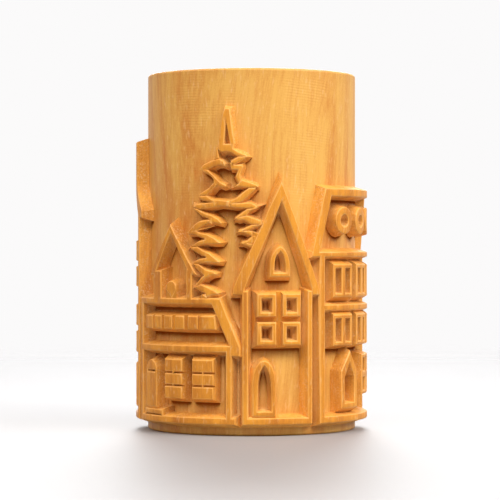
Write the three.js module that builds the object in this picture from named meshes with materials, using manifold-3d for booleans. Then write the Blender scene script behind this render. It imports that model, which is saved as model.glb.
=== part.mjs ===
// Embossed hand roller: a short hardwood cylinder with a village scene raised on its lower two thirds.
// Millimetres, +Z up. The roller stands on end, with its origin at the centre of the bottom end.
// On the relief, u is the distance round the roller at full height, to the right from the middle of
// the front (-Y), and z is the height. A point [u, z] of an outline lies on the relief's top face.
import * as THREE from 'three';
import { mergeVertices } from 'three/addons/utils/BufferGeometryUtils.js';
import Module from 'manifold-3d';

const wasm = await Module();
wasm.setup();

// Driving dimensions
const LENGTH = 60;
const BARE_RADIUS = 17.65;
const RELIEF_RADIUS = 19.7;
const RIM_CHAMFER = 0.4;
const FACETS = 60;

// The relief's cut walls lean outwards, so a ridge is wider at its foot than at its top by the draft.
// The front fir's outlines are drawn in by the slimming first, which leaves its zigzags thin on top.
const DRAFT = 0.75;
const HOLE_DRAFT = 0.5;
const FIR_DRAFT = 0.6;
const FIR_SLIMMING = 0.1;
const SEAT_GAP = 0.02;
const JOINT_GAP = 0.15;
const LONGEST_EDGE = 3;
const DISC_SIDES = 16;

// Radii that the outlines are lofted between. The walls stop leaning at the upright radius. The outer
// one is so large that the flat triangles which close a wide outline still clear the relief.
const INNER_RADIUS = BARE_RADIUS - 1;
const UPRIGHT_RADIUS = RELIEF_RADIUS + 0.3;
const OUTER_RADIUS = RELIEF_RADIUS + 8;

// Heights and widths that the houses share
const GROUND_FOOT = 1.95;
const GROUND_TOP = 3;
const WALL = 0.9;

const PALE_WOOD = new THREE.Color(0xdba35f);
const RELIEF_WOOD = new THREE.Color(0xeaa956);

// Solids

function solidOf(geometry) {
  const bare = geometry.clone();
  bare.deleteAttribute('normal');
  bare.deleteAttribute('uv');
  const merged = mergeVertices(bare, 1e-4);
  return new wasm.Manifold(new wasm.Mesh({
    numProp: 3,
    vertProperties: merged.attributes.position.array,
    triVerts: new Uint32Array(merged.index.array),
  }));
}

function geometryOf(solid) {
  const mesh = solid.getMesh();
  const geometry = new THREE.BufferGeometry();
  geometry.setAttribute('position', new THREE.BufferAttribute(mesh.vertProperties, 3));
  geometry.setIndex(new THREE.BufferAttribute(mesh.triVerts, 1));
  geometry.computeVertexNormals();
  return geometry;
}

function turned(profile) {
  const points = profile.map(([radius, z]) => new THREE.Vector2(radius, z));
  return new THREE.LatheGeometry(points, FACETS).rotateX(Math.PI / 2);
}

// A tube from one radius to another, taller than the roller, that trims a relief piece.
function tube(inner, outer) {
  return solidOf(turned([[inner, -1], [outer, -1], [outer, LENGTH + 1], [inner, LENGTH + 1], [inner, -1]]));
}

const join = (solids) => solids.reduce((whole, next) => whole.add(next));

// Outlines, each a list of [u, z] running anticlockwise

const mirror = (outline, mid) => outline.map(([u, z]) => [2 * mid - u, z]).reverse();

const rect = (left, right, foot, top) => [[left, foot], [right, foot], [right, top], [left, top]];

function disc(u, z, radius) {
  const circle = new THREE.EllipseCurve(u, z, radius, radius);
  return circle.getPoints(DISC_SIDES).slice(0, -1).map((point) => [point.x, point.y]);
}

const normalOf = (from, to) => new THREE.Vector2(to.y - from.y, from.x - to.x).normalize();

// How far a corner moves when the edges before and after it both move outwards by one.
const mitreOf = (before, after) => before.clone().add(after).divideScalar(1 + before.dot(after));

// The outline of a ridge of one width that follows a zigzag line, with mitred corners.
function ridge(line, width = 0.85) {
  const points = line.map(([u, z]) => new THREE.Vector2(u, z));
  const last = points.length - 1;
  const mitres = points.map((point, i) => {
    const before = normalOf(points[Math.max(i - 1, 0)], points[Math.max(i, 1)]);
    const after = normalOf(points[Math.min(i, last - 1)], points[Math.min(i + 1, last)]);
    return mitreOf(before, after).multiplyScalar(width / 2);
  });
  const right = points.map((point, i) => [point.x + mitres[i].x, point.y + mitres[i].y]);
  const left = points.map((point, i) => [point.x - mitres[i].x, point.y - mitres[i].y]);
  return [...right, ...left.reverse()];
}

// A window or door outline with upright sides and a curved point on top.
function lancet(mid, half, foot, shoulder, apex) {
  const bend = shoulder + 0.81 * (apex - shoulder);
  const bulge = 0.92 * half;
  const shape = new THREE.Path();
  shape.moveTo(mid - half, foot);
  shape.lineTo(mid + half, foot);
  shape.lineTo(mid + half, shoulder);
  shape.quadraticCurveTo(mid + bulge, bend, mid, apex);
  shape.quadraticCurveTo(mid - bulge, bend, mid - half, shoulder);
  return shape.getPoints(5).slice(0, -1).map((point) => [point.x, point.y]);
}

// A window or door outline under an arch of a given rise, by default a half circle.
function archTop(mid, half, foot, spring, rise = half) {
  const arch = new THREE.EllipseCurve(mid, spring, half, rise, 0, Math.PI);
  return [[mid - half, foot], [mid + half, foot], ...arch.getPoints(8).map((point) => [point.x, point.y])];
}

// A door outline under a straight gable.
const pointed = (mid, half, foot, shoulder, apex) => [
  [mid - half, foot], [mid + half, foot], [mid + half, shoulder], [mid, apex], [mid - half, shoulder],
];

// Splits an outline's long edges, so that they follow the roller when they are bent round it.
function subdivided(outline) {
  return outline.flatMap(([u, z], i) => {
    const [nextU, nextZ] = outline[(i + 1) % outline.length];
    const steps = Math.max(1, Math.ceil(Math.abs(nextU - u) / LONGEST_EDGE));
    return Array.from({ length: steps }, (_, k) => new THREE.Vector2(
      u + (nextU - u) * k / steps,
      z + (nextZ - z) * k / steps,
    ));
  });
}

// Moves every edge of an anticlockwise outline outwards by the same distance.
function grown(points, distance) {
  return points.map((point, i) => {
    const before = normalOf(points[(i + points.length - 1) % points.length], point);
    const after = normalOf(point, points[(i + 1) % points.length]);
    return point.clone().addScaledVector(mitreOf(before, after), distance);
  });
}

function onRoller(points, radius) {
  return points.flatMap(({ x: u, y: z }) => {
    const angle = u / RELIEF_RADIUS;
    return [radius * Math.sin(angle), -radius * Math.cos(angle), z];
  });
}

// Lofts an outline from inside the roller's bare surface out past the relief, with leaning walls.
function loft(outline, draft, extra = 0) {
  const points = subdivided(outline);
  if (THREE.ShapeUtils.isClockWise(points)) points.reverse();
  const lean = draft / (RELIEF_RADIUS - BARE_RADIUS);
  const foot = grown(points, extra + lean * (RELIEF_RADIUS - INNER_RADIUS));
  const rim = grown(points, extra + lean * (RELIEF_RADIUS - UPRIGHT_RADIUS));
  const count = points.length;
  const index = THREE.ShapeUtils.triangulateShape(points, []).flatMap(([a, b, c]) => [
    a + 2 * count, b + 2 * count, c + 2 * count,
    c, b, a,
  ]);
  for (let i = 0; i < 2 * count; i++) {
    const next = i % count === count - 1 ? i + 1 - count : i + 1;
    index.push(i, next, next + count, i, next + count, i + count);
  }
  const geometry = new THREE.BufferGeometry();
  const positions = [
    ...onRoller(foot, INNER_RADIUS),
    ...onRoller(rim, UPRIGHT_RADIUS),
    ...onRoller(rim, OUTER_RADIUS),
  ];
  geometry.setAttribute('position', new THREE.Float32BufferAttribute(positions, 3));
  geometry.setIndex(index);
  return solidOf(geometry);
}

const reliefLayer = tube(BARE_RADIUS + SEAT_GAP, RELIEF_RADIUS);

// A relief feature: raised outlines, less holes down to the bare surface and grooves of a stated depth.
// clearOf lists features that it stops short of, and slimming draws the raised outlines in.
function relief({ raised, holes = [], grooves = [], depth = 1, draft = DRAFT, slimming = 0, clearOf = [] }) {
  let solid = join(raised.map((outline) => loft(outline, draft, -slimming)));
  if (holes.length) solid = solid.subtract(join(holes.map((outline) => loft(outline, -HOLE_DRAFT))));
  if (grooves.length) {
    const cut = join(grooves.map((outline) => loft(outline, -HOLE_DRAFT / 2)));
    solid = solid.subtract(cut.intersect(tube(RELIEF_RADIUS - depth, OUTER_RADIUS + 1)));
  }
  for (const other of clearOf) {
    solid = solid.subtract(join(other.raised.map((outline) => loft(outline, DRAFT, JOINT_GAP))));
  }
  return solid.intersect(reliefLayer);
}

// Windows

// A window of four panes in two rows, each pane a hole in its own raised frame, with a sunk cross between.
function crossWindow(left, foot, width, height) {
  const border = 0.66;
  const upright = 1.1;
  const crossbar = 0.95;
  const pane = (width - upright) / 2;
  const row = (height - crossbar) / 2;
  const holes = [left, left + pane + upright].flatMap((u) => [foot, foot + row + crossbar].map((z) => rect(
    u + border,
    u + pane - border,
    z + border,
    z + row - border,
  )));
  return {
    raised: [rect(left, left + width, foot, foot + height)],
    holes,
    grooves: [
      rect(left + pane, left + pane + upright, foot - 1, foot + height + 1),
      rect(left - 1, left + width + 1, foot + row, foot + row + crossbar),
    ],
  };
}

// A window block with rows of tall panes, each a slot down to the bare surface.
function paneWindow(left, foot, width, height, panes, rows = 1) {
  const border = 0.55;
  const bars = 1;
  const pane = (width - 2 * border - bars * (panes - 1)) / panes;
  const row = (height - 2 * border - bars * (rows - 1)) / rows;
  const holes = Array.from({ length: panes * rows }, (_, k) => {
    const u = left + border + (pane + bars) * (k % panes);
    const z = foot + border + (row + bars) * Math.floor(k / panes);
    return rect(u, u + pane, z, z + row);
  });
  return { raised: [rect(left, left + width, foot, foot + height)], holes };
}

// A cottage window: three rows of two panes, parted by thin cuts on each side of the glazing bar.
function cutWindow(left, foot, width, height) {
  const mid = left + width / 2;
  const right = left + width;
  const cut = 0.17;
  const bar = 0.12;
  const grooves = [1, 2].flatMap((k) => {
    const z = foot + height * k / 3;
    return [rect(left - 1, mid - bar, z - cut, z + cut), rect(mid + bar, right + 1, z - cut, z + cut)];
  });
  return { raised: [rect(left, right, foot, foot + height)], grooves, depth: 0.6 };
}

const roundLight = (u, z) => ({ raised: [disc(u, z, 2.25)], holes: [disc(u, z, 1.05)], draft: 0.6 });

// The middle house: a steep gable over a four-pane window, an arched door and a small attic light.
const gableHouse = {
  frame: {
    raised: [
      rect(-1.5, -0.6, GROUND_FOOT, 23.6),
      rect(9.6, 10.4, GROUND_FOOT, 23.6),
      rect(-1.5, 10.4, GROUND_FOOT, GROUND_TOP),
      [
        [-3.1, 23.1], [-1.2, 23.1], [-1.2, 24.1], [4.95, 38.4], [10.4, 24.1],
        [10.4, 23], [11.9, 23], [11.9, 23.7], [4.95, 41.4], [-2.9, 24.2],
      ],
    ],
  },
  features: {
    attic_window: {
      raised: [lancet(4.7, 1.7, 25.95, 27.4, 30.85)],
      holes: [lancet(4.7, 0.98, 26.6, 27.4, 30.2)],
    },
    window: crossWindow(0.95, 14.9, 7.3, 8.25),
    door: {
      raised: [archTop(2.05, 1.87, 3.4, 8.7, 3.65)],
      holes: [lancet(2.1, 1.15, 4.1, 7.4, 11.6)],
    },
  },
};

// The town house on the right: two storeys of windows under a mansard roof with three round lights.
const TOWN_LEFT = 12.1;
const TOWN_MID = 24.2;
const TOWN_RIGHT = 2 * TOWN_MID - TOWN_LEFT;
const townRoofSide = [[10.4, 29.2], [11.9, 29.2], [11.9, 29.9], [14.5, 39.4], [14.5, 40.4], [13.1, 40.4]];
const townHouse = {
  frame: {
    raised: [
      rect(TOWN_LEFT, TOWN_LEFT + WALL, GROUND_FOOT, 29.6),
      rect(TOWN_RIGHT - WALL, TOWN_RIGHT, GROUND_FOOT, 29.6),
      rect(TOWN_LEFT, TOWN_RIGHT, GROUND_FOOT, GROUND_TOP),
      rect(TOWN_LEFT, TOWN_RIGHT, 20.4, 21.3),
      rect(10.4, 2 * TOWN_MID - 10.4, 29.2, 30),
      rect(13.1, 2 * TOWN_MID - 13.1, 39.2, 40.4),
      townRoofSide,
      mirror(townRoofSide, TOWN_MID),
    ],
  },
  features: {
    door: {
      raised: [pointed(19.4, 2.5, 4.2, 10.2, 13.6)],
      holes: [pointed(19.35, 1.5, 5, 9.3, 11.9)],
    },
    shop_window: paneWindow(24.2, 6.2, 8.8, 6.6, 3, 2),
  },
};
[14.9, 21.7, 28.5].forEach((left, i) => {
  townHouse.features[`upper_window_${i + 1}`] = paneWindow(left, 22.6, 5.2, 5.3, 2);
  townHouse.features[`lower_window_${i + 1}`] = paneWindow(left, 14.6, 5.2, 5, 2);
});
// The first lower window stands so close over the door that their leaning walls would meet.
townHouse.features.lower_window_1.clearOf = [townHouse.features.door];
[17.75, 23.6, 29.45].forEach((u, i) => {
  townHouse.features[`round_window_${i + 1}`] = roundLight(u, 35.2);
});

// A row of shingles along a roof, parted by grooves.
function shingleBand(left, right, foot, top, count) {
  const pitch = (right - left) / count;
  const grooves = Array.from({ length: count - 1 }, (_, k) => {
    const u = left + pitch * (k + 1);
    return rect(u - 0.35, u + 0.35, foot - 1, top + 1);
  });
  return { raised: [[[left, foot], [right + 0.2, foot], [right, top], [left, top]]], grooves, depth: 0.4 };
}

// The cottage on the left: a wide roof with a band of shingles and a dormer, two windows and a door.
const DORMER_MID = -14.75;
const cottage = {
  frame: {
    raised: [
      rect(-4.2, -3.3, GROUND_FOOT, 14.4),
      rect(-24.1, -23.2, GROUND_FOOT, 22.4),
      rect(-24.1, -2.7, GROUND_FOOT, GROUND_TOP),
      rect(-24, -3.4, 13.7, 14.7),
      rect(-24.1, -5.2, 21.5, 22.4),
      rect(-22.1, -16.6, 3, 4),
      [[-3.3, 13.1], [-2, 13.1], [-1.95, 14.4], [-5.2, 22.4], [-7.1, 22.4], [-3.3, 14]],
      rect(-19.1, -17, 22, 26.9),
      rect(-11.3, -10.3, 22, 27.2),
      [
        [-20.1, 26.3], [-18.8, 26.3], [DORMER_MID, 33.2],
        [-10.7, 26.3], [-9.4, 26.3], [DORMER_MID, 34.5],
      ],
    ],
    grooves: [rect(-21.9, -16.9, GROUND_TOP, GROUND_TOP + 0.25)],
    depth: 0.8,
  },
  features: {
    shingles: shingleBand(-21.8, -6.2, 17.4, 19.5, 6),
    left_window: cutWindow(-16.1, 6, 3.85, 6.35),
    right_window: cutWindow(-10.2, 6, 3.85, 6.35),
    door: {
      raised: [archTop(-20, 1.72, 4.45, 10.4)],
      grooves: [rect(-21.2, -18.8, 10.15, 10.5)],
    },
    dormer_window: { raised: [archTop(DORMER_MID + 0.1, 1.2, 22.6, 24)] },
  },
};

// The tall house with a chimney, round to the left.
const TALL_MID = -32;
const TALL_HALF = 6.4;
const TALL_EAVE = 8.1;
const tallHouse = {
  frame: {
    raised: [
      rect(TALL_MID + TALL_HALF - WALL, TALL_MID + TALL_HALF, GROUND_FOOT, 36.4),
      rect(TALL_MID - TALL_HALF, TALL_MID - TALL_HALF + WALL, GROUND_FOOT, 36.4),
      rect(TALL_MID - TALL_HALF, TALL_MID + TALL_HALF, GROUND_FOOT, GROUND_TOP),
      [
        [TALL_MID - TALL_EAVE, 35.8], [TALL_MID - 5.8, 35.8], [TALL_MID, 43.9], [TALL_MID + 5.8, 35.8],
        [TALL_MID + TALL_EAVE, 35.8], [TALL_MID + TALL_EAVE, 36.8], [TALL_MID, 46.1],
        [TALL_MID - TALL_EAVE, 36.8],
      ],
      rect(TALL_MID + 3.3, TALL_MID + 4.2, 40.5, 48.6),
      rect(TALL_MID + 1.1, TALL_MID + 2, 43.5, 48.6),
      rect(TALL_MID + 1.1, TALL_MID + 4.2, 47.7, 48.6),
    ],
  },
  features: {
    upper_window: crossWindow(TALL_MID - 3.9, 24.2, 7.4, 7.7),
    lower_window: crossWindow(TALL_MID - 3.9, 13.1, 7.4, 8),
    door: {
      raised: [lancet(TALL_MID + 1.4, 1.95, 4, 8.4, 11.2)],
      holes: [lancet(TALL_MID + 1.4, 1.25, 4.7, 8.1, 10.2)],
    },
  },
};

// The house at the back: a lower gable with a window on each side of its door.
const BACK_MID = -62.4;
const BACK_HALF = 8.6;
const BACK_EAVE = 10.4;
const backHouse = {
  frame: {
    raised: [
      rect(BACK_MID + BACK_HALF - WALL, BACK_MID + BACK_HALF, GROUND_FOOT, 18.6),
      rect(BACK_MID - BACK_HALF, BACK_MID - BACK_HALF + WALL, GROUND_FOOT, 18.6),
      rect(BACK_MID - BACK_HALF, BACK_MID + BACK_HALF, GROUND_FOOT, GROUND_TOP),
      rect(BACK_MID - BACK_HALF, BACK_MID + BACK_HALF, 18, 18.9),
      [
        [BACK_MID - BACK_EAVE, 18], [BACK_MID - BACK_HALF, 18], [BACK_MID, 32], [BACK_MID + BACK_HALF, 18],
        [BACK_MID + BACK_EAVE, 18], [BACK_MID + BACK_EAVE, 18.9], [BACK_MID, 34.9],
        [BACK_MID - BACK_EAVE, 18.9],
      ],
    ],
  },
  features: {
    attic_window: roundLight(BACK_MID, 23.6),
    door: {
      raised: [lancet(BACK_MID, 1.8, 3.7, 9.4, 12.6)],
      holes: [lancet(BACK_MID, 1.1, 4.4, 9, 11.6)],
    },
    left_window: cutWindow(BACK_MID + 3.5, 7.4, 3.1, 6.6),
    right_window: cutWindow(BACK_MID - 6.6, 7.4, 3.1, 6.6),
  },
};

// Firs

// The fir between the cottage and the middle house. Each side is a zigzag of blades that run from an
// outer tip down to an inner tip, and of thinner legs that run back out to the next outer tip.
const frontFir = {
  raised: [
    // The spire, which spreads into the first tooth on the right
    [
      [-4.55, 53.4], [-4.95, 52], [-5.7, 47.2], [-6.3, 44.95], [-5.3, 45.1], [-5.45, 46.4], [-4.9, 46.1],
      [-4.2, 46.25], [-3.4, 46.1], [-2.4, 45.5], [-0.9, 45.2], [-0.5, 45.45], [-0.9, 45.8], [-2.2, 46.3],
      [-2.9, 46.8], [-2.75, 47.6], [-3.35, 52], [-3.5, 53.3],
    ],
    // Blades and legs on the left, from the top down
    [
      [-8.65, 43.75], [-8.3, 43.2], [-7.2, 43.4], [-5.8, 44], [-5, 44.05], [-4.3, 43.8], [-4.2, 44.3],
      [-4.6, 44.85], [-5.3, 45.2], [-6.3, 44.95], [-8.2, 44.2],
    ],
    [
      [-8.35, 43.5], [-8.3, 43.1], [-7.1, 42.5], [-6.4, 41.7], [-6.4, 40.9], [-5.6, 40.7], [-4.7, 40.4],
      [-4.1, 40.55], [-4.2, 40.95], [-5.3, 41.5], [-6.2, 42.45], [-7.3, 43.4],
    ],
    [
      [-6.3, 41.3], [-7.2, 40.4], [-8.8, 39.5], [-9.1, 39], [-7.5, 39.15], [-6.3, 40.3], [-5.6, 40.75],
      [-5.8, 41.2],
    ],
    [
      [-9.1, 39.1], [-8.7, 38.5], [-6.9, 38.05], [-5.2, 37.6], [-3.5, 37.6], [-3.5, 38.3], [-6.6, 38.6],
      [-7.5, 39.2],
    ],
    [
      [-6.6, 38.1], [-9.5, 37.8], [-10.15, 37.3], [-9, 36.9], [-7, 37.05], [-5.2, 37.4], [-3.5, 37.25],
      [-3.5, 38.2],
    ],
    [
      [-10.15, 37.35], [-9.8, 36.85], [-8.5, 35.8], [-7.25, 35.4], [-7, 34.8], [-5.9, 34.6], [-5, 34.4],
      [-4.8, 34.7], [-5.5, 35.4], [-6.6, 36], [-7.8, 36.35], [-9, 36.95],
    ],
    [
      [-7.1, 35.3], [-9, 35], [-9.9, 34.4], [-11, 33.4], [-11.1, 33], [-9.4, 33.4], [-8.3, 34.1],
      [-6.6, 34.9],
    ],
    [
      [-11.15, 33.25], [-11, 32.85], [-10.3, 32.9], [-9.3, 32.6], [-8.1, 32.15], [-7.6, 31.3], [-6.5, 31.2],
      [-5.2, 31.25], [-4.95, 31.5], [-6.2, 32.3], [-7.4, 32.9], [-8.6, 33.1], [-9.4, 33.5],
    ],
    [[-7.8, 32.1], [-9.2, 31.7], [-10.2, 31.1], [-10.75, 30.75], [-9.2, 30.85], [-8, 31.25], [-6.8, 31.3]],
    [
      [-10.75, 30.8], [-10.3, 30.3], [-9, 29.6], [-7.8, 29.15], [-7.5, 28.25], [-6.2, 28.15], [-5.3, 28.1],
      [-5.1, 28.4], [-6.1, 29.1], [-7.1, 29.9], [-8.2, 30.3], [-9.2, 30.9],
    ],
    [[-7.6, 29.1], [-9, 28.8], [-9.8, 28.5], [-10.15, 28.05], [-8.95, 28], [-7.6, 28.25], [-6.9, 28.4]],
    [
      [-10.15, 28.15], [-9.7, 27.6], [-8.9, 26.9], [-8.2, 26.25], [-7.9, 25.6], [-7, 26.05], [-5.9, 26.2],
      [-5.8, 26.5], [-6.3, 26.8], [-7.7, 27.2], [-8.95, 28.05],
    ],
    [[-8, 26.3], [-8.7, 25.6], [-9.6, 24.6], [-9.85, 24.15], [-8.6, 24.75], [-7.9, 25.6], [-7.3, 25.9]],
    [
      [-9.85, 24.25], [-9.3, 23.85], [-7.85, 23.25], [-7.6, 22.6], [-6.6, 23], [-5.5, 23.05], [-5.3, 23.35],
      [-6.2, 23.8], [-7.3, 24.3], [-8.6, 24.8],
    ],
    [[-7.5, 23.4], [-8.8, 22.9], [-8.8, 22.3], [-7.3, 22.4]],
    // Legs and blades on the right, from the top down
    [[-1.2, 45.55], [-2.2, 45.5], [-3.4, 44.75], [-3.6, 44.2], [-2.75, 44.15], [-1.9, 44.6], [-0.9, 45.1]],
    [
      [-3.5, 44.6], [-3.5, 43.7], [-3.3, 43.3], [-2.3, 43.2], [-2.7, 42.1], [-2.15, 41], [-1.7, 41.6],
      [-1.8, 42.6], [-1.35, 43.7], [-1.5, 44.2], [-2.75, 44.15],
    ],
    [
      [-2.85, 40.5], [-1.9, 40.55], [-0.45, 40.3], [1.1, 40.4], [1.15, 40.65], [0.8, 40.95], [-1.7, 41.8],
      [-2.15, 41.15],
    ],
    [
      [0.8, 40.5], [-0.45, 40.4], [-1.8, 39.35], [-2.6, 38.7], [-3.6, 38.3], [-3.6, 37.6], [-1.75, 37.95],
      [-0.4, 39.1], [0.7, 40.1],
    ],
    [
      [-3.6, 38], [-3.6, 37.25], [-2.4, 37.05], [0.6, 36.95], [1.05, 37.25], [0.6, 37.7], [-0.1, 38.05],
      [-1.75, 37.95],
    ],
    [
      [1.05, 37.3], [-0.85, 36.95], [-1.8, 36.2], [-2.65, 35.6], [-2.7, 35.2], [-0.75, 35.9],
      [-0.3, 36.5], [0.5, 36.9],
    ],
    [
      [-2.75, 35.4], [-2.1, 35], [-1.3, 35.15], [-0.05, 34.4], [2.3, 34.3], [2.3, 35], [1.3, 35.2],
      [-0.75, 35.95], [-2.65, 35.65],
    ],
    [
      [2, 34.6], [-0.05, 34.4], [-1.2, 33.8], [-2.15, 33.5], [-2.2, 33.15], [-0.4, 33.45], [0.5, 34],
      [1.3, 34.2],
    ],
    [
      [-2.2, 33.3], [-1, 32.95], [-0.05, 32.5], [1.6, 32.4], [1.6, 33.1], [0.3, 33.25], [-0.4, 33.5],
      [-2.1, 33.5],
    ],
    [[1.3, 32.7], [-0.05, 32.55], [-0.7, 31.85], [-1.6, 31.6], [-1.75, 31.2], [0.1, 31.3], [0.6, 31.9]],
    [[-1.75, 31.4], [-0.5, 30.8], [0.3, 30.3], [0.9, 30.6], [0.9, 31.1], [0.1, 31.35], [-1.6, 31.65]],
  ],
  grooves: [[[-4.25, 51.4], [-4.5, 47.5], [-3.5, 47.5]]],
  depth: 1.4,
  draft: FIR_DRAFT,
  slimming: FIR_SLIMMING,
};

// A fir in the same manner for the back, its blades wider towards the ground.
function fir(mid, foot, tip, half, tiers) {
  const crown = tip - 6;
  const tier = (crown - foot) / tiers;
  const reachAt = (k) => half * (0.5 + 0.5 * k / (tiers - 1));
  const side = [
    [
      [mid + 0.1, tip], [mid - 0.5, tip], [mid - 1.5, crown], [mid - reachAt(0), crown - 1],
      [mid - 0.5, crown - 0.8],
    ],
  ];
  for (let k = 0; k < tiers; k++) {
    const reach = reachAt(k);
    const z = crown - 0.7 - tier * k;
    side.push([
      [mid - reach, z + 0.25], [mid - reach - 0.1, z - 0.1], [mid - 0.62 * reach, z - 0.62 * tier - 0.3],
      [mid - 0.2 * reach, z - 0.85 * tier], [mid - 0.42 * reach, z - 0.4 * tier],
    ]);
    if (k < tiers - 1) {
      side.push(ridge([[mid - 0.55 * reach, z - 0.55 * tier], [mid - reachAt(k + 1), z - tier + 0.05]], 0.7));
    }
  }
  const trunk = rect(mid - 0.9, mid + 0.9, foot - 3.5, foot + 0.6 * tier);
  return { raised: [...side, ...side.map((outline) => mirror(outline, mid)), trunk], draft: FIR_DRAFT };
}

// Assembly

const roller = new THREE.Group();

function addPiece(name, geometry, color) {
  const material = new THREE.MeshStandardMaterial({ color, roughness: 0.5, metalness: 0 });
  const mesh = new THREE.Mesh(geometry, material);
  mesh.name = name;
  roller.add(mesh);
}

const addRelief = (name, feature) => addPiece(name, geometryOf(relief(feature)), RELIEF_WOOD);

// A house is its frame, cut clear of its neighbours, and the windows and doors that stand inside it.
function addHouse(name, frame, features, neighbours = []) {
  addRelief(`${name}_frame`, { ...frame, clearOf: neighbours });
  for (const [feature, shape] of Object.entries(features)) {
    addRelief(`${name}_${feature}`, { ...shape, clearOf: [frame, ...(shape.clearOf ?? [])] });
  }
}

const core = turned([
  [0, 0],
  [BARE_RADIUS - RIM_CHAMFER, 0],
  [BARE_RADIUS, RIM_CHAMFER],
  [BARE_RADIUS, LENGTH - RIM_CHAMFER],
  [BARE_RADIUS - RIM_CHAMFER, LENGTH],
  [0, LENGTH],
]);
addPiece('roller_core', geometryOf(solidOf(core)), PALE_WOOD);

addHouse('gable_house', gableHouse.frame, gableHouse.features);
addHouse('town_house', townHouse.frame, townHouse.features, [gableHouse.frame]);
addHouse('tall_house', tallHouse.frame, tallHouse.features);
addHouse('cottage', cottage.frame, cottage.features, [tallHouse.frame, gableHouse.frame]);
addHouse('back_house', backHouse.frame, backHouse.features);

addRelief('front_fir', { ...frontFir, clearOf: [gableHouse.frame, cottage.frame] });
addRelief('back_left_fir', { ...fir(-46, 7, 44, 5.2, 8), clearOf: [backHouse.frame, tallHouse.frame] });
addRelief('back_right_fir', { ...fir(-80, 7, 47, 5.4, 8), clearOf: [backHouse.frame, townHouse.frame] });

export default roller;
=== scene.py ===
import math

import bmesh
import bpy
from bpy.props import FloatProperty, FloatVectorProperty, IntProperty, PointerProperty
from bpy.types import Node, NodeSocket, Operator, Panel, PropertyGroup
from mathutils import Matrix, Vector
from mathutils.bvhtree import BVHTree
from mathutils.geometry import intersect_point_line


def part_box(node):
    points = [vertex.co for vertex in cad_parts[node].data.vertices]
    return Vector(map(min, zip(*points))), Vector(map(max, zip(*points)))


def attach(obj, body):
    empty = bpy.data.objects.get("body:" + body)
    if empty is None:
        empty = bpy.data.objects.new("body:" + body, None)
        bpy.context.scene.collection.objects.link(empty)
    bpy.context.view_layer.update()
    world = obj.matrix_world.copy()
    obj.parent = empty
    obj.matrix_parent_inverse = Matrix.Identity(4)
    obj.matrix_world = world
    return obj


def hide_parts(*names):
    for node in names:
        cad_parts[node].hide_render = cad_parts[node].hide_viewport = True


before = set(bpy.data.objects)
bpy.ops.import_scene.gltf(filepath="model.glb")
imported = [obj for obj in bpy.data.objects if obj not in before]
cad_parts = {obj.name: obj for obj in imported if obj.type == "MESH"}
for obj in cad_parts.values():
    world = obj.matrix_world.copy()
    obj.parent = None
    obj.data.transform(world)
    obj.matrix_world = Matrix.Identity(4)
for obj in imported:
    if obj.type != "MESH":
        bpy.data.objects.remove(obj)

bl_info = {
    "name": "Village hand roller",
    "version": (1, 0, 0),
    "blender": (4, 5, 0),
    "location": "View3D > Sidebar > Roller",
    "description": "Dresses a short wooden hand roller with a village carved in relief",
    "category": "Object",
}

MM = 0.001

# The roller's measures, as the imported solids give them
CORE_LOW, CORE_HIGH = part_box("roller_core")
GABLE_LOW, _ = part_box("gable_house_frame")
LENGTH = CORE_HIGH.z - CORE_LOW.z
BARE_RADIUS = -CORE_LOW.y
RELIEF_RADIUS = -GABLE_LOW.y

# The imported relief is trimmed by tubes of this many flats, with a corner at the front
FLATS = 60
FLAT_ANGLE = 2 * math.pi / FLATS
# How near to the bare wood or to the relief's top a packed corner counts as lying on it
FOOT_REACH = 0.06 * MM
TOP_REACH = 0.03 * MM
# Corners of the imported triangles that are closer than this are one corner
SAME_CORNER = 0.002 * MM
# Slivers narrower than this are taken out once a piece lies flat
SLIVER = 0.04 * MM
# Leeway for a corner to lie in the flat top, and for a cut to run through a corner
TOP_LEEWAY = 0.01 * MM
CUT_LEEWAY = 0.001 * MM
# How far a wall looks for the neighbour it was cut clear of, and how far it then runs on into it
TUCK_REACH = 0.2 * MM
TUCK_DEPTH = 0.3 * MM
# Faces that lean apart by less than this are one face
ONE_FACE_ANGLE = math.radians(2)
# Edges that turn by less than this are shaded soft
SOFT_ANGLE = math.radians(35)
# The core's edges that turn by more than this are its rims
RIM_ANGLE = math.radians(45)

HOUSES = ("gable_house", "town_house", "cottage", "tall_house", "back_house")
FIRS = ("front_fir", "back_left_fir", "back_right_fir")

# The frames that each piece of the relief was cut clear of, and runs on into on the real roller
TUCKED_UNDER = {
    "town_house_frame": ("gable_house_frame",),
    "cottage_frame": ("tall_house_frame", "gable_house_frame"),
    "front_fir": ("gable_house_frame", "cottage_frame"),
    "back_left_fir": ("back_house_frame", "tall_house_frame"),
    "back_right_fir": ("back_house_frame", "town_house_frame"),
}
# How far each piece's top is lowered, so that overlapping tops don't lie in one surface
LOWERED = {
    "gable_house_frame": 0.0,
    "tall_house_frame": 0.0,
    "back_house_frame": 0.0,
    "town_house_frame": 0.008 * MM,
    "cottage_frame": 0.008 * MM,
    **dict.fromkeys(FIRS, 0.016 * MM),
}
FEATURE_LOWERED = 0.024 * MM

# The finishes of a relief piece, and the slopes between them: its top, its rounded edges with a painted
# highlight, and its walls
RELIEF_FINISHES = ("carved_beech", "worn_beech", "milled_beech")
FINISH_SLOPES = (-0.97, -0.5)

# Moves the origin from the roller's axis to the tree's pith, 34 mm behind it and 9 mm to its left
PITH_OFFSET = (9, -34, 0)
PITH_LEAN = (math.radians(4), math.radians(-3.5), 0)
# Width of the band, in millimetres, in which the grain sways from side to side
GRAIN_SWAY = 9.0
# How far up a ledge is felt, and how far round the roller the other wall of a groove
LEDGE_REACH = 4.0 * MM
GROOVE_REACH = 2.5 * MM

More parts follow.
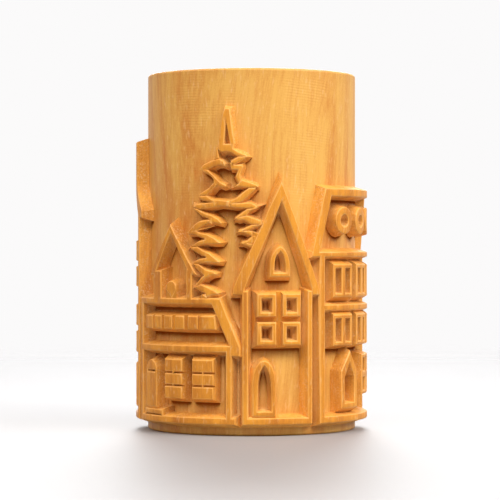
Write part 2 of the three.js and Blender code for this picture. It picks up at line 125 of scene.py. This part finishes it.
# Each lamp's width and height in metres, degrees round from the front, degrees up, and colour
LAMPS = {
    "key": (1.2, 0.24, 8, 50, 0xFFF6EA),
    "front": (0.3, 0.3, -6, 8, 0xFFFFFF),
    "fill": (0.7, 0.3, -72, 38, 0xFFFFFF),
    "edge": (0.7, 0.3, 72, 36, 0xFFFFFF),
    "back": (0.5, 0.4, 180, 30, 0xFFFFFF),
}
LAMP_DISTANCE = 0.9
FLOOR_RADIUS = 0.5
# The floor fades out into the white surroundings between these distances from the roller's foot
FADE_START = 0.12
FADE_END = 0.35

# The camera stands level at half the roller's height, with the photograph's perspective and framing
CAMERA_DISTANCE = 0.3777
CAMERA_HEIGHT = 0.03
CAMERA_LENS = 159.2
CAMERA_SHIFT_X = -0.0032
CAMERA_SHIFT_Y = 0.0038


# Settings that a user may change

def linear(hex_colour):
    """Turns an sRGB hex value into the linear colour that Blender's sockets take."""
    channels = (hex_colour >> 16 & 255, hex_colour >> 8 & 255, hex_colour & 255)
    values = (channel / 255 for channel in channels)
    return tuple(v / 12.92 if v <= 0.04045 else ((v + 0.055) / 1.055) ** 2.4 for v in values)


class WoodSettings(PropertyGroup):
    """Colours and grain of the roller's wood."""

    early_wood: FloatVectorProperty(
        name="Early wood", description="Colour of the core's pale wood between the growth rings",
        subtype="COLOR", size=3, min=0, max=1, default=linear(0xE4AD54))
    late_wood: FloatVectorProperty(
        name="Late wood", description="Colour of the core's darker wood in the growth rings",
        subtype="COLOR", size=3, min=0, max=1, default=linear(0xC87826))
    carved_early: FloatVectorProperty(
        name="Carved early wood", description="Colour of the relief's pale wood between the growth rings",
        subtype="COLOR", size=3, min=0, max=1, default=linear(0xE49830))
    carved_late: FloatVectorProperty(
        name="Carved late wood", description="Colour of the relief's darker wood and open pores",
        subtype="COLOR", size=3, min=0, max=1, default=linear(0xBC7024))
    # The two wall colours are paler than the tops' colours: painted light, making up for the shade that
    # falls on the cut walls
    lightened_wall_early: FloatVectorProperty(
        name="Wall early wood", description="Colour of the pale wood on the cut walls",
        subtype="COLOR", size=3, min=0, max=1, default=linear(0xF8B24C))
    lightened_wall_late: FloatVectorProperty(
        name="Wall late wood", description="Colour of the darker wood and torn pores on the cut walls",
        subtype="COLOR", size=3, min=0, max=1, default=linear(0xCC8230))
    # Painted shade: the darker colour given to the wood under ledges, where shade falls
    corner: FloatVectorProperty(
        name="Corner", description="Colour of the wood where oil and dust have gathered under ledges",
        subtype="COLOR", size=3, min=0, max=1, default=linear(0x7E3603))
    # Painted light: the paler colour given to narrow grooves and holes, where shade falls
    torn: FloatVectorProperty(
        name="Torn", description="Colour of the torn pale fibres in narrow grooves and holes",
        subtype="COLOR", size=3, min=0, max=1, default=linear(0xFFD084))
    # Painted highlight: the paler colour given to the rounded top edges
    rim_highlight_early: FloatVectorProperty(
        name="Worn early wood", description="Colour of the pale wood where handling has worn the top edges",
        subtype="COLOR", size=3, min=0, max=1, default=linear(0xEDAC54))
    # Pale ray flecks, and the walls' fuzz, which is partly lifted fibres and partly painted sheen
    fleck_and_sheen: FloatVectorProperty(
        name="Fleck", description="Colour of the pale ray flecks and of the fuzz of lifted fibres",
        subtype="COLOR", size=3, min=0, max=1, default=linear(0xF6CE93))
    ring_spacing: FloatProperty(
        name="Ring spacing", description="Distance between two growth rings, in millimetres",
        min=0.5, max=10, default=3.2)
    oil_roughness: FloatProperty(
        name="Oiled roughness", description="Roughness of the sanded and oiled wood",
        min=0, max=1, default=0.48)


class CoreSettings(PropertyGroup):
    """How the core is turned."""

    rim_rounding: FloatProperty(
        name="Rim rounding", description="Width of the rounding along the core's two rims",
        subtype="DISTANCE", unit="LENGTH", min=0.05 * MM, max=2 * MM, default=0.4 * MM)
    rim_segments: IntProperty(
        name="Rim segments", description="Flats across the rounding of a rim",
        min=1, max=12, default=4)
    sides: IntProperty(
        name="Sides", description="Flats round the core",
        min=24, max=720, default=240)


class ReliefSettings(PropertyGroup):
    """How the carved relief is finished."""

    edge_rounding: FloatProperty(
        name="Edge rounding", description="Width of the rounding along the relief's top edges",
        subtype="DISTANCE", unit="LENGTH", min=0.02 * MM, max=0.4 * MM, default=0.17 * MM)
    edge_segments: IntProperty(
        name="Edge segments", description="Flats across the rounding of a top edge",
        min=1, max=6, default=3)
    bend_step: FloatProperty(
        name="Bend step", description="Distance between the cuts that let a flat piece bend",
        subtype="DISTANCE", unit="LENGTH", min=0.3 * MM, max=3 * MM, default=0.8 * MM)
    sunk: FloatProperty(
        name="Sunk depth", description="How far the foot of the relief reaches into the core",
        subtype="DISTANCE", unit="LENGTH", min=0, max=1 * MM, default=0.3 * MM)


class StudioSettings(PropertyGroup):
    """The floor, the backdrop and the lamps."""

    floor_colour: FloatVectorProperty(
        name="Floor colour", description="Colour of the satin floor, which the lamps bring near to white",
        subtype="COLOR", size=3, min=0, max=1, default=linear(0xA2A2A5))
    backdrop_colour: FloatVectorProperty(
        name="Backdrop colour", description="Colour that the camera and reflections see beyond the floor",
        subtype="COLOR", size=3, min=0, max=1, default=linear(0xFBFAFA))
    room_light: FloatProperty(
        name="Room light", description="Strength of the even light from all round",
        min=0, max=1, default=0.06)
    key_power: FloatProperty(
        name="Key power", description="Power of the main soft lamp, in watts",
        subtype="POWER", unit="POWER", min=0, max=100, default=8.7)
    front_power: FloatProperty(
        name="Front power", description="Power of the low lamp beside the camera, in watts",
        subtype="POWER", unit="POWER", min=0, max=100, default=0.5)
    fill_power: FloatProperty(
        name="Fill power", description="Power of the soft lamp on the left, in watts",
        subtype="POWER", unit="POWER", min=0, max=100, default=2.4)
    edge_power: FloatProperty(
        name="Edge power", description="Power of the soft lamp on the right, in watts",
        subtype="POWER", unit="POWER", min=0, max=100, default=5.7)
    back_power: FloatProperty(
        name="Back power", description="Power of the lamp behind that throws the shadow forward, in watts",
        subtype="POWER", unit="POWER", min=0, max=100, default=5.3)


# Materials

def add_node(tree, kind, links=None, **settings):
    """Adds a node with its settings, and sets or links its sockets. A node stands for its first output."""
    node = tree.nodes.new(kind)
    for name, value in settings.items():
        setattr(node, name, value)
    for name, value in (links or {}).items():
        socket = node.inputs[name]
        if isinstance(value, Node):
            tree.links.new(value.outputs[0], socket)
        elif isinstance(value, NodeSocket):
            tree.links.new(value, socket)
        elif socket.type == "RGBA":
            socket.default_value = (*value, 1)
        else:
            socket.default_value = value
    return node


def empty_material(name):
    """Makes a material without nodes and returns its tree."""
    material = bpy.data.materials.new(name)
    material.use_nodes = True
    material.node_tree.nodes.clear()
    return material.node_tree


def mottle(tree, place, repeats, detail=1.0, roughness=0.5, offset=(0, 0, 0)):
    """A soft random pattern with so many features per millimetre along x, y and z."""
    scaled = add_node(tree, "ShaderNodeMapping", {"Vector": place, "Location": offset, "Scale": repeats})
    return add_node(tree, "ShaderNodeTexNoise", {
        "Vector": scaled, "Scale": 1.0, "Detail": detail, "Roughness": roughness,
    })


def marks(tree, place, repeats, cut, tones, shape="LINEAR", **details):
    """A mottle whose values between two cuts run from one tone to the other."""
    return add_node(tree, "ShaderNodeMapRange", {
        "Value": mottle(tree, place, repeats, **details),
        "From Min": cut[0], "From Max": cut[1], "To Min": tones[0], "To Max": tones[1],
    }, interpolation_type=shape)


def wood_pattern(tree, wood, early, late):
    """The grain that runs on through core and relief: its colour, its fibres and places from the pith."""
    place = add_node(tree, "ShaderNodeTexCoord").outputs["Object"]
    # One unit is a millimetre from here on
    pith = add_node(tree, "ShaderNodeMapping", {
        "Vector": place, "Location": PITH_OFFSET, "Rotation": PITH_LEAN, "Scale": (1 / MM, 1 / MM, 1 / MM),
    })
    # The grain sways in waves about 20 mm wide and 55 mm tall
    sway = mottle(tree, pith, (0.05, 0.05, 0.018), 2.0, 0.45).outputs["Color"]
    centred = add_node(tree, "ShaderNodeVectorMath", {0: sway, 1: (0.5, 0.5, 0.5)}, operation="SUBTRACT")
    pushed = add_node(tree, "ShaderNodeVectorMath", {0: centred, "Scale": GRAIN_SWAY}, operation="SCALE")
    warped = add_node(tree, "ShaderNodeVectorMath", {0: pith, 1: pushed}, operation="ADD")
    # The wave node lays a ring every 2 pi / 20 units at a scale of 1
    rings = add_node(tree, "ShaderNodeTexWave", {
        "Vector": warped, "Scale": math.pi / (10 * wood.ring_spacing),
        "Distortion": 1.5, "Detail": 2.0, "Detail Scale": 0.6,
    }, wave_type="RINGS", rings_direction="Z", wave_profile="SIN").outputs["Fac"]
    ring_tone = add_node(tree, "ShaderNodeMapRange", {
        "Value": rings, "From Min": 0.45, "From Max": 1.0, "To Min": 0.0, "To Max": 0.3,
    }, interpolation_type="SMOOTHSTEP")
    # Streaks about 0.9 mm wide and 50 mm long
    streak_tone = marks(
        tree, warped, (1.1, 1.1, 0.02), (0.3, 0.7), (-0.14, 0.3), detail=2.0, roughness=0.55)
    # Fibres about 0.25 mm wide and 8 mm long, coarser than beech's own so that they show
    fibres = mottle(tree, warped, (4.0, 4.0, 0.12), 2.0, 0.6)
    fibre_tone = add_node(tree, "ShaderNodeMapRange", {
        "Value": fibres, "From Min": 0.3, "From Max": 0.7, "To Min": -0.17, "To Max": 0.17,
    })
    # Speckle of cut pores about 0.25 mm across, coarser than beech's own so that it shows
    speckle_tone = marks(tree, pith, (4.0, 4.0, 4.0), (0.3, 0.7), (-0.1, 0.1), offset=(7, 3, 11))
    # The wood is a little darker on the left of the front
    side = add_node(tree, "ShaderNodeSeparateXYZ", {0: place}).outputs["X"]
    left_side_tone = add_node(tree, "ShaderNodeMapRange", {
        "Value": side, "From Min": -18 * MM, "From Max": 2 * MM, "To Min": 0.15, "To Max": 0.0,
    }, interpolation_type="SMOOTHSTEP")
    # Broad clouds of darker wood, about 8 mm wide and 50 mm tall
    cloud_tone = marks(tree, pith, (0.13, 0.13, 0.02), (0.42, 0.72), (0.0, 0.35), "SMOOTHSTEP")
    # One darker flame, about 5 mm wide and 34 mm tall, stands beside the front fir, 12 mm left and 36 mm up
    flame_sway = mottle(tree, pith, (0.1, 0.1, 0.1)).outputs["Color"]
    flame_centre = add_node(tree, "ShaderNodeMapping", {
        "Vector": place, "Location": (4.25, 5.2, -2.85), "Scale": (400, 400, 65),
    })
    flame_place = add_node(tree, "ShaderNodeVectorMath", {0: flame_centre, 1: flame_sway}, operation="ADD")
    flame_reach = add_node(tree, "ShaderNodeVectorMath", {0: flame_place}, operation="LENGTH")
    flame_tone = add_node(tree, "ShaderNodeMapRange", {
        "Value": flame_reach.outputs["Value"],
        "From Min": 0.2, "From Max": 1.1, "To Min": 0.5, "To Max": 0.0,
    }, interpolation_type="SMOOTHSTEP")
    tone = ring_tone
    for share in (streak_tone, fibre_tone, speckle_tone, cloud_tone, left_side_tone, flame_tone):
        tone = add_node(tree, "ShaderNodeMath", {0: tone, 1: share}, operation="ADD")
    tone.use_clamp = True
    body = add_node(tree, "ShaderNodeMix", {"Factor": tone, 6: early, 7: late}, data_type="RGBA").outputs[2]
    # Pale ray flecks, about 0.4 mm wide and 1.7 mm tall
    flecks = marks(tree, pith, (2.6, 2.6, 0.6), (0.6, 0.76), (0.0, 0.3))
    flecked = add_node(tree, "ShaderNodeMix", {"Factor": flecks, 6: body, 7: wood.fleck_and_sheen}, data_type="RGBA")
    return flecked.outputs[2], fibres, pith


def paint_shade_and_groove_light(tree, wood, colour, gloss, depth):
    """Colour and gloss with painted shade under ledges, darker and duller, and painted light in narrow
    grooves, paler.
    """
    surface = add_node(tree, "ShaderNodeTexCoord").outputs
    # How open it is straight up and both ways round the roller. The ground with nothing near is half open.
    upward = add_node(tree, "ShaderNodeCombineXYZ", {"Z": 1.0})
    across = add_node(tree, "ShaderNodeVectorMath", {
        0: upward, 1: surface["Object"],
    }, operation="CROSS_PRODUCT")
    onward = add_node(tree, "ShaderNodeVectorMath", {0: across}, operation="NORMALIZE")
    backward = add_node(tree, "ShaderNodeVectorMath", {0: onward, "Scale": -1.0}, operation="SCALE")
    ways = ((upward, LEDGE_REACH), (onward, GROOVE_REACH), (backward, GROOVE_REACH))
    above, ahead, behind = (
        add_node(tree, "ShaderNodeAmbientOcclusion", {
            "Normal": way, "Distance": reach,
        }, samples=8).outputs["AO"]
        for way, reach in ways
    )
    freer = add_node(tree, "ShaderNodeMath", {0: ahead, 1: behind}, operation="MAXIMUM")
    # Painted shade under ledges, where shade falls, up to a depth of 1
    gathered = add_node(tree, "ShaderNodeMapRange", {
        "Value": above, "From Min": 0.2, "From Max": 0.44, "To Min": depth, "To Max": 0.0,
    })
    # Places walled in on both sides, undersides and the plain lip at the foot get no painted shade
    slope = add_node(tree, "ShaderNodeSeparateXYZ", {0: surface["Normal"]}).outputs["Z"]
    height = add_node(tree, "ShaderNodeSeparateXYZ", {0: surface["Object"]}).outputs["Z"]
    for measure, low, high in ((freer, 0.08, 0.24), (slope, -0.5, -0.1), (height, 0.8 * MM, 2.2 * MM)):
        shade_allowed = add_node(tree, "ShaderNodeMapRange", {"Value": measure, "From Min": low, "From Max": high})
        gathered = add_node(tree, "ShaderNodeMath", {0: gathered, 1: shade_allowed}, operation="MULTIPLY")
    # Narrow upright grooves and small holes, walled in on both sides, are made paler with painted light
    walled = add_node(tree, "ShaderNodeMapRange", {
        "Value": freer, "From Min": 0.12, "From Max": 0.42, "To Min": 1.0, "To Max": 0.0,
    })
    colour = add_node(tree, "ShaderNodeMix", {
        "Factor": walled, 6: colour, 7: wood.torn,
    }, data_type="RGBA").outputs[2]
    colour = add_node(tree, "ShaderNodeMix", {
        "Factor": gathered, 6: colour, 7: wood.corner,
    }, data_type="RGBA").outputs[2]
    # The painted shade also dulls the gloss under ledges
    dulled = add_node(tree, "ShaderNodeMapRange", {
        "Value": gathered, "From Min": 0.0, "From Max": 0.6, "To Min": gloss, "To Max": 0.0,
    })
    return colour, dulled


def chatter(tree, place, height, pitch, repeats, share):
    """Adds to a height the cutter's level ripples, one pitch in millimetres apart, which come in patches."""
    ripples = add_node(tree, "ShaderNodeTexWave", {
        "Vector": place, "Scale": math.pi / (10 * pitch),
        "Distortion": 1.2, "Detail": 1.0, "Detail Scale": 0.4,
    }, wave_type="BANDS", bands_direction="Z", wave_profile="SIN").outputs["Fac"]
    patches = marks(tree, place, (repeats, repeats, repeats), (0.5, 0.62), (0.0, 1.0), detail=2.0)
    patchy = add_node(tree, "ShaderNodeMath", {0: ripples, 1: patches}, operation="MULTIPLY")
    faint = add_node(tree, "ShaderNodeMath", {0: patchy, 1: share}, operation="MULTIPLY")
    return add_node(tree, "ShaderNodeMath", {0: height, 1: faint}, operation="ADD")


def turned_wood(tree, wood):
    """Beech, turned and sanded: a satin honey surface with soft streaks and a trace of cutter ripple."""
    colour, fibres, pith = wood_pattern(tree, wood, wood.early_wood, wood.late_wood)
    # Painted shade under ledges and painted light in narrow grooves
    colour, gloss = paint_shade_and_groove_light(tree, wood, colour, gloss=0.4, depth=0.92)
    height = chatter(tree, pith, fibres, pitch=0.45, repeats=0.12, share=0.9)
    bump = add_node(tree, "ShaderNodeBump", {"Height": height, "Strength": 0.3, "Distance": 0.05 * MM})
    return {
        "Base Color": colour, "Roughness": wood.oil_roughness, "Specular IOR Level": gloss, "Normal": bump,
    }


def carved_wood(tree, wood):
    """The relief's top faces: the same beech with more oil in it, so a deeper orange."""
    colour, fibres, _ = wood_pattern(tree, wood, wood.carved_early, wood.carved_late)
    bump = add_node(tree, "ShaderNodeBump", {"Height": fibres, "Strength": 0.5, "Distance": 0.08 * MM})
    return {
        "Base Color": colour, "Roughness": wood.oil_roughness, "Specular IOR Level": 0.28, "Normal": bump,
    }


def milled_wood(tree, wood):
    """Beech as the cutter left it on the relief's walls: open and woolly, so duller, and coloured paler than
    the tops as painted light.
    """
    colour, _, pith = wood_pattern(tree, wood, wood.lightened_wall_early, wood.lightened_wall_late)
    # Torn fibres and open pores, about 0.25 mm across
    grit = mottle(tree, pith, (4.0, 4.0, 3.0), 3.0, 0.65)
    pores = add_node(tree, "ShaderNodeMapRange", {
        "Value": grit, "From Min": 0.5, "From Max": 0.75, "To Min": 0.0, "To Max": 0.5,
    })
    pored = add_node(tree, "ShaderNodeMix", {
        "Factor": pores, 6: colour, 7: wood.lightened_wall_late,
    }, data_type="RGBA").outputs[2]
    # Pale fuzz, partly lifted fibres and partly painted sheen, in grains about 0.25 mm across that crowd in
    # patches about 3 mm wide
    fuzz = marks(tree, pith, (4.0, 4.0, 4.0), (0.52, 0.68), (0.0, 1.0), offset=(31, 17, 5))
    crowded = marks(tree, pith, (0.35, 0.35, 0.35), (0.45, 0.62), (0.15, 0.6), offset=(3, 9, 21))
    lifted = add_node(tree, "ShaderNodeMath", {0: fuzz, 1: crowded}, operation="MULTIPLY")
    fuzzy_and_sheen = add_node(tree, "ShaderNodeMix", {"Factor": lifted, 6: pored, 7: wood.fleck_and_sheen}, data_type="RGBA")
    # Painted shade under ledges and painted light in narrow grooves
    colour, gloss = paint_shade_and_groove_light(tree, wood, fuzzy_and_sheen.outputs[2], gloss=0.28, depth=0.4)
    height = chatter(tree, pith, grit, pitch=0.4, repeats=0.2, share=0.15)
    bump = add_node(tree, "ShaderNodeBump", {"Height": height, "Strength": 0.7, "Distance": 0.13 * MM})
    return {"Base Color": colour, "Roughness": 0.58, "Specular IOR Level": gloss, "Normal": bump}


def rim_highlight_wood(tree, wood):
    """The rounded top edges of the relief: a little shinier, and paler with a painted highlight. polished by
    handling, so paler and a little shinier.
    """
    colour, fibres, _ = wood_pattern(tree, wood, wood.rim_highlight_early, wood.carved_early)
    bump = add_node(tree, "ShaderNodeBump", {"Height": fibres, "Strength": 0.2, "Distance": 0.06 * MM})
    return {"Base Color": colour, "Roughness": 0.4, "Specular IOR Level": 0.45, "Normal": bump}


WOODS = {
    "turned_beech": turned_wood,
    "carved_beech": carved_wood,
    "milled_beech": milled_wood,
    "worn_beech": rim_highlight_wood,
}


# Shaping

def object_from(name, bm, materials):
    """Makes an object of a finished bmesh, with soft shading except on sharp edges."""
    bm.normal_update()
    for face in bm.faces:
        face.smooth = True
    for edge in bm.edges:
        edge.smooth = edge.calc_face_angle(math.pi) < SOFT_ANGLE
    mesh = bpy.data.meshes.new(name)
    bm.to_mesh(mesh)
    bm.free()
    for material in materials:
        mesh.materials.append(bpy.data.materials[material])
    piece = bpy.data.objects.new(name, mesh)
    bpy.context.scene.collection.objects.link(piece)
    return piece


def even_normals(piece):
    """Weights the normals by the faces' size, so that flat faces shade flat beside their rounded edges."""
    weighted = piece.modifiers.new("Even normals", "WEIGHTED_NORMAL")
    weighted.keep_sharp = True


def merged_copy(node):
    """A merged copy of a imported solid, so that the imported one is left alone."""
    bm = bmesh.new()
    bm.from_mesh(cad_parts[node].data)
    bmesh.ops.remove_doubles(bm, verts=bm.verts, dist=SAME_CORNER)
    return bm


def neighbours_of(node):
    """The frames that a piece of the relief was cut clear of."""
    if node in TUCKED_UNDER:
        return TUCKED_UNDER[node]
    return [f"{house}_frame" for house in HOUSES if node.startswith(house) and node != f"{house}_frame"]


def tuck(bm, neighbours):
    """Moves the walls that stop short of a neighbour on into it."""
    for node in neighbours:
        other = merged_copy(node)
        tree = BVHTree.FromBMesh(other)
        other.free()
        for vert in bm.verts:
            nearest, _, _, gap = tree.find_nearest(vert.co, TUCK_REACH)
            if nearest is not None and gap > 0:
                vert.co += (nearest - vert.co) * (1 + TUCK_DEPTH / gap)


def unroll(bm, bottom, lowered):
    """Lays a relief piece flat: x round the roller, -y out from the axis. Returns its middle angle."""
    total = sum((vert.co for vert in bm.verts), Vector())
    middle = math.atan2(total.x, -total.y)
    for vert in bm.verts:
        angle = math.atan2(vert.co.x, -vert.co.y)
        off_flat = angle - (math.floor(angle / FLAT_ANGLE) + 0.5) * FLAT_ANGLE
        radius = math.hypot(vert.co.x, vert.co.y) * math.cos(off_flat) / math.cos(FLAT_ANGLE / 2)
        if radius < BARE_RADIUS + FOOT_REACH:
            radius = bottom
        elif radius > RELIEF_RADIUS - TOP_REACH:
            radius = RELIEF_RADIUS - lowered
        turn = (angle - middle + math.pi) % (2 * math.pi) - math.pi
        vert.co = Vector((turn * RELIEF_RADIUS, -radius, vert.co.z))
    return middle


def roll(bm, middle):
    """Bends a flat piece back round the roller."""
    for vert in bm.verts:
        angle = middle + vert.co.x / RELIEF_RADIUS
        radius = -vert.co.y
        vert.co = Vector((radius * math.sin(angle), -radius * math.cos(angle), vert.co.z))


def hold_near(verts, lines, reach, top):
    """Brings back the corners that a bevel threw further than its reach from its edges, or over the top."""
    for vert in verts:
        gaps = []
        for start, end in lines:
            point, along = intersect_point_line(vert.co, start, end)
            nearest = start if along < 0 else end if along > 1 else point
            gaps.append(nearest - vert.co)
        gap = min(gaps, key=lambda vector: vector.length)
        if gap.length > reach:
            vert.co += gap * (1 - reach / gap.length)
        vert.co.y = max(vert.co.y, top)


def carve(node, relief):
    """Makes the finished piece of one relief solid, with rounded edges and true curves."""
    bm = merged_copy(node)
    tuck(bm, neighbours_of(node))
    lowered = LOWERED.get(node, FEATURE_LOWERED)
    middle = unroll(bm, BARE_RADIUS - relief.sunk, lowered)
    bmesh.ops.dissolve_degenerate(bm, dist=SLIVER, edges=bm.edges)
    # Corners that were merged have settled a little, so the top is made flat again
    top = -(RELIEF_RADIUS - lowered)
    for vert in bm.verts:
        if vert.co.y < top + SLIVER:
            vert.co.y = top
    bmesh.ops.dissolve_limit(bm, angle_limit=ONE_FACE_ANGLE, verts=bm.verts, edges=bm.edges)
    top_faces = {face for face in bm.faces if all(vert.co.y < top + TOP_LEEWAY for vert in face.verts)}
    rims = [edge for edge in bm.edges if len(top_faces.intersection(edge.link_faces)) == 1]
    lines = [[vert.co.copy() for vert in edge.verts] for edge in rims]
    rounded = bmesh.ops.bevel(
        bm, geom=rims, offset=relief.edge_rounding, offset_type="OFFSET", affect="EDGES",
        segments=relief.edge_segments, profile=0.5, material=-1, clamp_overlap=False,
    )
    hold_near(rounded["verts"], lines, 2 * relief.edge_rounding, top)
    left = min(vert.co.x for vert in bm.verts)
    right = max(vert.co.x for vert in bm.verts)
    for step in range(1, math.ceil((right - left) / relief.bend_step)):
        geometry = [*bm.verts, *bm.edges, *bm.faces]
        bmesh.ops.bisect_plane(
            bm, geom=geometry, dist=CUT_LEEWAY, plane_no=(1, 0, 0),
            plane_co=(left + step * relief.bend_step, 0, 0),
        )
    bmesh.ops.triangulate(bm, faces=bm.faces)
    bm.normal_update()
    for face in bm.faces:
        face.material_index = sum(face.normal.y >= slope for slope in FINISH_SLOPES)
    roll(bm, middle)
    piece = object_from(f"{node}_carved", bm, RELIEF_FINISHES)
    even_normals(piece)
    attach(piece, "root")
    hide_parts(node)


# Steps

class ROLLER_OT_woods(Operator):
    """Makes the materials of the roller"""

    bl_idname = "roller.woods"
    bl_label = "Woods"

    def execute(self, context):
        for name, pattern in WOODS.items():
            tree = empty_material(name)
            shader = add_node(tree, "ShaderNodeBsdfPrincipled", pattern(tree, context.scene.roller_wood))
            add_node(tree, "ShaderNodeOutputMaterial", {"Surface": shader})
        return {"FINISHED"}


class ROLLER_OT_core(Operator):
    """Turns the core, with softened rims"""

    bl_idname = "roller.core"
    bl_label = "Turned core"

    def execute(self, context):
        core = context.scene.roller_core
        bm = bmesh.new()
        bmesh.ops.create_cone(
            bm, cap_ends=True, cap_tris=False, segments=core.sides,
            radius1=BARE_RADIUS, radius2=BARE_RADIUS, depth=LENGTH,
        )
        bmesh.ops.translate(bm, verts=bm.verts, vec=(0, 0, LENGTH / 2))
        rims = [edge for edge in bm.edges if edge.calc_face_angle(0) > RIM_ANGLE]
        bmesh.ops.bevel(
            bm, geom=rims, offset=core.rim_rounding, offset_type="OFFSET", affect="EDGES",
            segments=core.rim_segments, profile=0.5, material=-1, clamp_overlap=True,
        )
        piece = object_from("core_turned", bm, ["turned_beech"])
        even_normals(piece)
        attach(piece, "root")
        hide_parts("roller_core")
        return {"FINISHED"}


class ROLLER_OT_houses(Operator):
    """Finishes the carved houses with their windows and doors"""

    bl_idname = "roller.houses"
    bl_label = "Houses"

    def execute(self, context):
        for node in sorted(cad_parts):
            if node.startswith(HOUSES):
                carve(node, context.scene.roller_relief)
        return {"FINISHED"}


class ROLLER_OT_firs(Operator):
    """Finishes the carved firs"""

    bl_idname = "roller.firs"
    bl_label = "Firs"

    def execute(self, context):
        for node in FIRS:
            carve(node, context.scene.roller_relief)
        return {"FINISHED"}


def add_floor(studio):
    """Lays a satin floor that fades out into the white surroundings."""
    tree = empty_material("satin_white_floor")
    satin = add_node(tree, "ShaderNodeBsdfPrincipled", {
        "Base Color": studio.floor_colour, "Roughness": 0.5, "Specular IOR Level": 0.3,
    })
    place = add_node(tree, "ShaderNodeTexCoord").outputs["Object"]
    distance = add_node(tree, "ShaderNodeVectorMath", {0: place}, operation="LENGTH").outputs["Value"]
    fade = add_node(tree, "ShaderNodeMapRange", {
        "Value": distance, "From Min": FADE_START, "From Max": FADE_END,
    }, interpolation_type="SMOOTHSTEP")
    clear = add_node(tree, "ShaderNodeBsdfTransparent")
    faded = add_node(tree, "ShaderNodeMixShader", {0: fade, 1: satin, 2: clear})
    add_node(tree, "ShaderNodeOutputMaterial", {"Surface": faded})
    bm = bmesh.new()
    bmesh.ops.create_circle(bm, cap_ends=True, segments=64, radius=FLOOR_RADIUS)
    floor = object_from("studio_floor", bm, ["satin_white_floor"])


def add_world(scene, studio):
    """Surrounds the roller with faint even light, and shows the camera and reflections a white backdrop."""
    scene.world = bpy.data.worlds.new("Studio")
    scene.world.use_nodes = True
    tree = scene.world.node_tree
    tree.nodes.clear()
    rays = add_node(tree, "ShaderNodeLightPath").outputs
    mirrored = add_node(tree, "ShaderNodeMath", {
        0: rays["Is Glossy Ray"], 1: rays["Is Transmission Ray"],
    }, operation="MAXIMUM")
    seen = add_node(tree, "ShaderNodeMath", {0: rays["Is Camera Ray"], 1: mirrored}, operation="MAXIMUM")
    light = add_node(tree, "ShaderNodeBackground", {"Color": (1, 1, 1), "Strength": studio.room_light})
    backdrop = add_node(tree, "ShaderNodeBackground", {"Color": studio.backdrop_colour, "Strength": 1.0})
    surroundings = add_node(tree, "ShaderNodeMixShader", {0: seen, 1: light, 2: backdrop})
    add_node(tree, "ShaderNodeOutputWorld", {"Surface": surroundings})


def add_lamp(name, power, width, tall, azimuth, elevation, colour):
    """Adds a soft rectangular lamp that points at the roller's middle."""
    lamp = bpy.data.lights.new(name, "AREA")
    lamp.energy = power
    lamp.shape = "RECTANGLE"
    lamp.size = width
    lamp.size_y = tall
    lamp.color = linear(colour)
    lamp_object = bpy.data.objects.new(name, lamp)
    side = math.radians(azimuth)
    up = math.radians(elevation)
    direction = Vector((math.sin(side) * math.cos(up), -math.cos(side) * math.cos(up), math.sin(up)))
    lamp_object.location = direction * LAMP_DISTANCE + Vector((0, 0, LENGTH / 2))
    lamp_object.rotation_euler = direction.to_track_quat("Z", "Y").to_euler()
    bpy.context.scene.collection.objects.link(lamp_object)


def add_camera(scene):
    """Stands a level camera in front of the roller, at half its height."""
    camera = bpy.data.cameras.new("Camera")
    camera.sensor_width = 36
    camera.lens = CAMERA_LENS
    camera.shift_x = CAMERA_SHIFT_X
    camera.shift_y = CAMERA_SHIFT_Y
    camera_object = bpy.data.objects.new("Camera", camera)
    camera_object.location = (0, -CAMERA_DISTANCE, CAMERA_HEIGHT)
    camera_object.rotation_euler = (math.radians(90), 0, 0)
    scene.collection.objects.link(camera_object)
    scene.camera = camera_object


class ROLLER_OT_stage(Operator):
    """Sets up the pale floor and backdrop, the lamps and the camera"""

    bl_idname = "roller.stage"
    bl_label = "Stage"

    def execute(self, context):
        scene = context.scene
        studio = scene.roller_studio
        scene.view_settings.view_transform = "Standard"
        add_floor(studio)
        add_world(scene, studio)
        for name, place in LAMPS.items():
            add_lamp(name, getattr(studio, f"{name}_power"), *place)
        add_camera(scene)
        return {"FINISHED"}


# Panel and registration

class ROLLER_PT_panel(Panel):
    """Lists the roller's settings and steps"""

    bl_idname = "ROLLER_PT_panel"
    bl_label = "Hand roller"
    bl_space_type = "VIEW_3D"
    bl_region_type = "UI"
    bl_category = "Roller"

    def draw(self, context):
        layout = self.layout
        for group in SETTINGS:
            settings = getattr(context.scene, group)
            box = layout.box()
            for name in settings.bl_rna.properties.keys():
                if name not in ("rna_type", "name"):
                    box.prop(settings, name)
        for step in STEPS:
            layout.operator(step.bl_idname)


SETTINGS = {
    "roller_wood": WoodSettings,
    "roller_core": CoreSettings,
    "roller_relief": ReliefSettings,
    "roller_studio": StudioSettings,
}
STEPS = (ROLLER_OT_woods, ROLLER_OT_core, ROLLER_OT_houses, ROLLER_OT_firs, ROLLER_OT_stage)


def register():
    """Registers the settings, the steps and the panel."""
    for cls in (*SETTINGS.values(), *STEPS, ROLLER_PT_panel):
        bpy.utils.register_class(cls)
    for name, settings in SETTINGS.items():
        setattr(bpy.types.Scene, name, PointerProperty(type=settings))


def unregister():
    """Takes the settings, the steps and the panel away again."""
    for name in SETTINGS:
        delattr(bpy.types.Scene, name)
    for cls in (ROLLER_PT_panel, *reversed(STEPS), *reversed(SETTINGS.values())):
        bpy.utils.unregister_class(cls)


def main():
    """Makes every piece and the stage."""
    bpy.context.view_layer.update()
    register()
    bpy.ops.roller.woods()
    bpy.ops.roller.core()
    bpy.ops.roller.houses()
    bpy.ops.roller.firs()
    bpy.ops.roller.stage()


if __name__ == "__main__":
    main()
